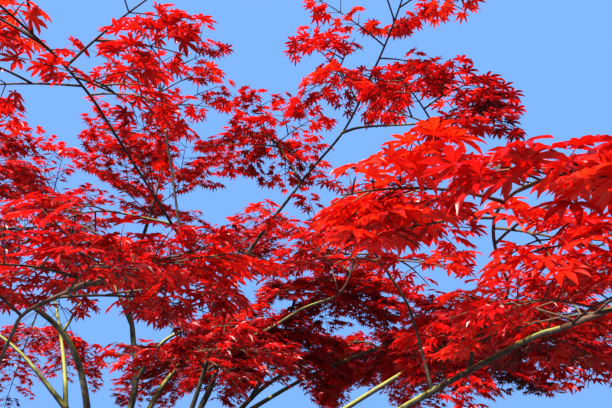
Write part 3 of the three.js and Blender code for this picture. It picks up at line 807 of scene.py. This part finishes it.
def tubes(curves, radii, sides):
    """Closed tubes along curves that have the same number of rings: curves is (count, rings, 3)."""
    curves, radii = np.asarray(curves, float), np.asarray(radii, float)
    count, rings = curves.shape[:2]
    along = np.gradient(curves, axis=1)
    along /= np.linalg.norm(along, axis=2, keepdims=True)
    run = curves[:, -1] - curves[:, 0]
    flat = np.stack([run[:, 1], -run[:, 0], np.full(count, 1e-3)], axis=1)
    across = np.repeat(flat[:, None, :], rings, axis=1)
    across -= (across * along).sum(axis=2, keepdims=True) * along
    across /= np.linalg.norm(across, axis=2, keepdims=True)
    up = np.cross(across, along)
    turns = np.arange(sides) * 2 * math.pi / sides
    ring = across[:, :, None] * np.cos(turns)[:, None] + up[:, :, None] * np.sin(turns)[:, None]
    corners = (curves[:, :, None] + ring * radii[:, :, None, None]).reshape(-1, 3)
    faces = []
    for r in range(rings - 1):
        for s in range(sides):
            a, b = r * sides + s, r * sides + (s + 1) % sides
            faces += [(a, b + sides, b), (a, a + sides, b + sides)]
    last = (rings - 1) * sides
    for s in range(1, sides - 1):
        faces += [(0, s, s + 1), (last, last + s + 1, last + s)]
    faces = np.array(faces)
    faces = (faces[None] + np.arange(count)[:, None, None] * rings * sides).reshape(-1, 3)
    return corners, faces


def joined(parts):
    """Several sets of corners and faces as one."""
    corners, faces, first = [], [], 0
    for some_corners, some_faces in parts:
        corners.append(some_corners)
        faces.append(some_faces + first)
        first += len(some_corners)
    return np.concatenate(corners), np.concatenate(faces)


shape_chance = random.Random(SEEDS["blades"])
fine_blades = [blade_shape(shape_chance, True) for _ in range(BLADE_SHAPES)]
plain_blades = [blade_shape(shape_chance, False) for _ in range(BLADE_SHAPES)]


def leaf_faces(leaves, blades, chance):
    """Blades and petioles of many leaves: corners, faces and the number of the leaf that each face is of."""
    nodes = np.array([leaf[0] for leaf in leaves])
    feet = np.array([leaf[1] for leaf in leaves])
    axes = np.array([leaf[2] for leaf in leaves])
    rolls = np.array([leaf[3] for leaf in leaves])
    sizes = np.array([leaf[4] for leaf in leaves])
    sides = np.cross(np.array([0, 0, 1.0]), axes)
    sides /= np.linalg.norm(sides, axis=1, keepdims=True)
    ups = np.cross(axes, sides)
    cos, sin = np.cos(rolls)[:, None], np.sin(rolls)[:, None]
    sides, ups = sides * cos + ups * sin, ups * cos - sides * sin
    kinds = np.array([chance.randrange(BLADE_SHAPES) for _ in leaves])
    parts, owners = [], []
    for kind, (corners, faces) in enumerate(blades):
        own = np.flatnonzero(kinds == kind)
        if not len(own):
            continue
        basis = np.stack([axes[own], sides[own], ups[own]], axis=1)
        placed = feet[own, None] + np.einsum("kc,ncd->nkd", corners, basis) * sizes[own, None, None]
        every = faces[None] + np.arange(len(own))[:, None, None] * len(corners)
        parts.append((placed.reshape(-1, 3), every.reshape(-1, 3)))
        owners.append(np.repeat(own, len(faces)))
    half = sides * PETIOLE["half_width"]
    stalk = np.stack([nodes - half, nodes + half, feet + half, feet - half], axis=1)
    quads = np.array([(0, 1, 2), (0, 2, 3)])[None] + np.arange(len(leaves))[:, None, None] * 4
    parts.append((stalk.reshape(-1, 3), quads.reshape(-1, 3)))
    owners.append(np.repeat(np.arange(len(leaves)), 2))
    corners, faces = joined(parts)
    return corners, faces, np.concatenate(owners)


def tapered(base, tip, rings):
    """Radii that fall evenly from base to tip."""
    return [partway(base, tip, t) for t in steps(rings)]


box_low = np.array(cad_box[0]) * METRE
box_high = np.array(cad_box[1]) * METRE
box_room = (box_high - box_low) * DRIP
foliage = []
wood = []
for index, name in enumerate(names):
    chance = random.Random(SEEDS["mass"] + index)
    numbers = seeded(index + 1)
    next(numbers)
    stem = mass_stem(name)
    twigs = mass_twigs(name, stem, numbers)
    rings = STEM_TUBE["rings"]
    radii = tapered(limbs[name]["tip"], STEM_TUBE["tip"], rings)
    wood.append((name, tubes([[stem.point(t) for t in steps(rings)]], [radii], STEM_TUBE["sides"])))
    if twigs:
        rings = TWIG_TUBE["rings"]
        curves = [[twig.point(t) for t in steps(rings)] for twig in twigs]
        radii = tapered(TWIG["base"], TWIG["tip"], rings)
        wood.append((name, tubes(curves, [radii] * len(twigs), TWIG_TUBE["sides"])))
    leaves, looks, shoot_curves = [], [], []
    for spray in [stem, *twigs]:
        shares = colour_shares(name, spray.point(COLOUR_PLACE))
        main = chance.choices(range(len(leaf_materials)), shares)[0]
        for curve in curves_with_room(name, spray, chance):
            shoot_curves.append(curve)
            look = main
            if chance.random() >= MAIN_SHARE:
                look = chance.choices(range(len(leaf_materials)), shares)[0]
            own = leaves_of(curve, chance)
            leaves += own
            looks += [look] * len(own)
    middles = np.array([foot + axis * (0.5 * size) for _, foot, axis, _, size in leaves])
    keep = in_own_space(name, middles, LEAF_SPACE["margin"], LEAF_SPACE["reach"])
    keep &= clear_of_limbs(middles, LEAF_CLEARANCE)
    keep &= ((middles > box_low - box_room) & (middles < box_high + box_room)).all(axis=1)
    leaves = [leaf for leaf, kept in zip(leaves, keep) if kept]
    looks = np.array(looks)[keep]
    corners, faces, owners = leaf_faces(leaves, fine_blades if name in CLOSE else plain_blades, chance)
    foliage.append((name, corners, faces, looks[owners]))
    radii = tapered(SHOOT["base"], SHOOT["tip"], SHOOT_TUBE["rings"])
    wood.append((name, tubes(shoot_curves, [radii] * len(shoot_curves), SHOOT_TUBE["sides"])))


def in_pieces(parts):
    """Cuts a run of parts into groups of up to the most faces."""
    groups, faces = [[]], 0
    for part in parts:
        if groups[-1] and faces + len(part[2]) > MOST_FACES:
            groups.append([])
            faces = 0
        groups[-1].append(part)
        faces += len(part[2])
    return groups


for number, group in enumerate(in_pieces(foliage), 1):
    corners, faces = joined([(some_corners, some_faces) for _, some_corners, some_faces, _ in group])
    looks = np.concatenate([some_looks for *_, some_looks in group])
    piece = mesh_piece(f"leaves_{number}", corners, faces, leaf_materials, looks)
    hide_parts(*[f"{name}_leaves" for name, *_ in group])

for number, group in enumerate(in_pieces([(name, *part) for name, part in wood]), 1):
    corners, faces = joined([(some_corners, some_faces) for _, some_corners, some_faces in group])
    piece = mesh_piece(f"twigs_{number}", corners, faces, [twig_bark], smooth=True)


def bark_relief(place, radius):
    """How far the bark stands out at a place: long shallow ridges, small knots and a slow swelling."""
    ridge = noise.noise(Vector((place.x / RIDGE["wide"], place.y / RIDGE["wide"], place.z / RIDGE["long"])))
    knot = noise.noise(place / KNOT["wide"])
    swell = noise.noise(place / SWELL["wide"])
    return radius * (RIDGE["out"] * ridge + KNOT["out"] * knot + SWELL["out"] * swell)


def trunk_radius(share):
    """The radius of the trunk at a share of its length, without its flare. Its top is rounded off."""
    past = max(share - DOMED_TOP["from"], 0) / (1 - DOMED_TOP["from"])
    return partway(TRUNK["base"], TRUNK["tip"], share) * math.sqrt(max(1 - past ** 2, DOMED_TOP["least"]))


def limb_root(name):
    """Rings that lead a limb's foot on, down along what it grows from and into it, as points and radii."""
    limb = limbs[name]
    parent = limbs[limb["on"]]["line"]
    around = trunk_radius(limb["at"]) if limb["on"] == "trunk" else limb_radius(limb["on"], limb["at"])
    back = ROOT["length"] * around
    start = limb["line"].start
    offset = start - parent.point(limb["at"])
    foot = parent.point(max(limb["at"] - back / parent.length, 0)) + offset * ROOT["foot"]
    halfway = parent.point(max(limb["at"] - 0.5 * back / parent.length, 0)) + offset * ROOT["halfway"]
    lead = start - limb["line"].tangent(0) * (ROOT["lead"] * back)
    count = max(2, round(back / RING_STEP["limb"]))
    shares = [i / count for i in range(count)]
    points = []
    for t in shares:
        below = foot * (1 - t) ** 3 + halfway * (3 * t * (1 - t) ** 2)
        points.append(below + lead * (3 * t ** 2 * (1 - t)) + start * t ** 3)
    return points, [limb_radius(name, 0) * partway(ROOT["narrow"], 1, t) for t in shares]


def flare(angle, along):
    """How far the trunk swells out to its roots, at an angle round it and a distance along it."""
    lobes = 1 + FLARE["lobe"] * math.cos(FLARE["roots"] * angle)
    return FLARE["reach"] * lobes * math.exp(-along / FLARE["height"])


def limb_mesh(name):
    """A limb as a round tube with rings along its line, each corner moved out by the bark's relief."""
    line = limbs[name]["line"]
    trunk = name == "trunk"
    shares = steps(round(line.length / RING_STEP["trunk" if trunk else "limb"]) + 1)
    curve = [line.point(share) for share in shares]
    if trunk:
        sides = LIMB_SIDES["trunk"]
        radii = [trunk_radius(share) for share in shares]
    else:
        sides = LIMB_SIDES["thick" if limbs[name]["base"] >= THICK else "thin"]
        root, root_radii = limb_root(name)
        curve = root + curve
        radii = root_radii + [limb_radius(name, share) for share in shares]
    curve = np.array(curve)
    corners, faces = tubes([curve], [radii], sides)
    for i in range(len(corners)):
        ring = i // sides
        middle = Vector(curve[ring])
        outward = Vector(corners[i]) - middle
        radius = outward.length
        outward.normalize()
        if trunk:
            radius += flare(math.atan2(outward.y, outward.x), shares[ring] * line.length)
        place = middle + outward * radius
        corners[i] = place + outward * bark_relief(place, radius)
    if trunk:
        corners[:, 2] = np.maximum(corners[:, 2], 0)
    return corners, faces


corners, faces = joined([limb_mesh(name) for name in limbs])
piece = mesh_piece("limbs", corners, faces, [bark], smooth=True)
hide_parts(*limbs)

# A plain floor, whose grey looks pale in the strong light, a plain pale sky and one light high on the left
FLOOR_SIZE = 60
KEY = {"rotation": (38, -28, 0), "energy": 15, "angle": 2, "color": (1.0, 0.97, 0.92)}
bpy.ops.object.select_all(action="DESELECT")
bpy.ops.mesh.primitive_plane_add(size=FLOOR_SIZE, location=(0, 0, 0))
floor = bpy.context.object
floor.name = "floor"
paint, tree = new_material("pale_floor")
face = add(tree, "ShaderNodeBsdfPrincipled", {"Base Color": colour("#686865"), "Roughness": 0.9})
add(tree, "ShaderNodeOutputMaterial", {"Surface": face.outputs[0]})
floor.data.materials.append(paint)

world = bpy.data.worlds.new("pale_sky")
bpy.context.scene.world = world
world.use_nodes = True
sky = world.node_tree.nodes["Background"]
sky.inputs["Color"].default_value = colour("#82b0f2")
sky.inputs["Strength"].default_value = 1.0

bpy.ops.object.light_add(type="SUN", rotation=[math.radians(turn) for turn in KEY["rotation"]])
key = bpy.context.object
key.name = "key"
key.data.energy = KEY["energy"]
key.data.angle = math.radians(KEY["angle"])
key.data.color = KEY["color"]

bpy.context.scene.view_settings.view_transform = "Standard"
bpy.context.scene.view_settings.look = "Medium High Contrast"
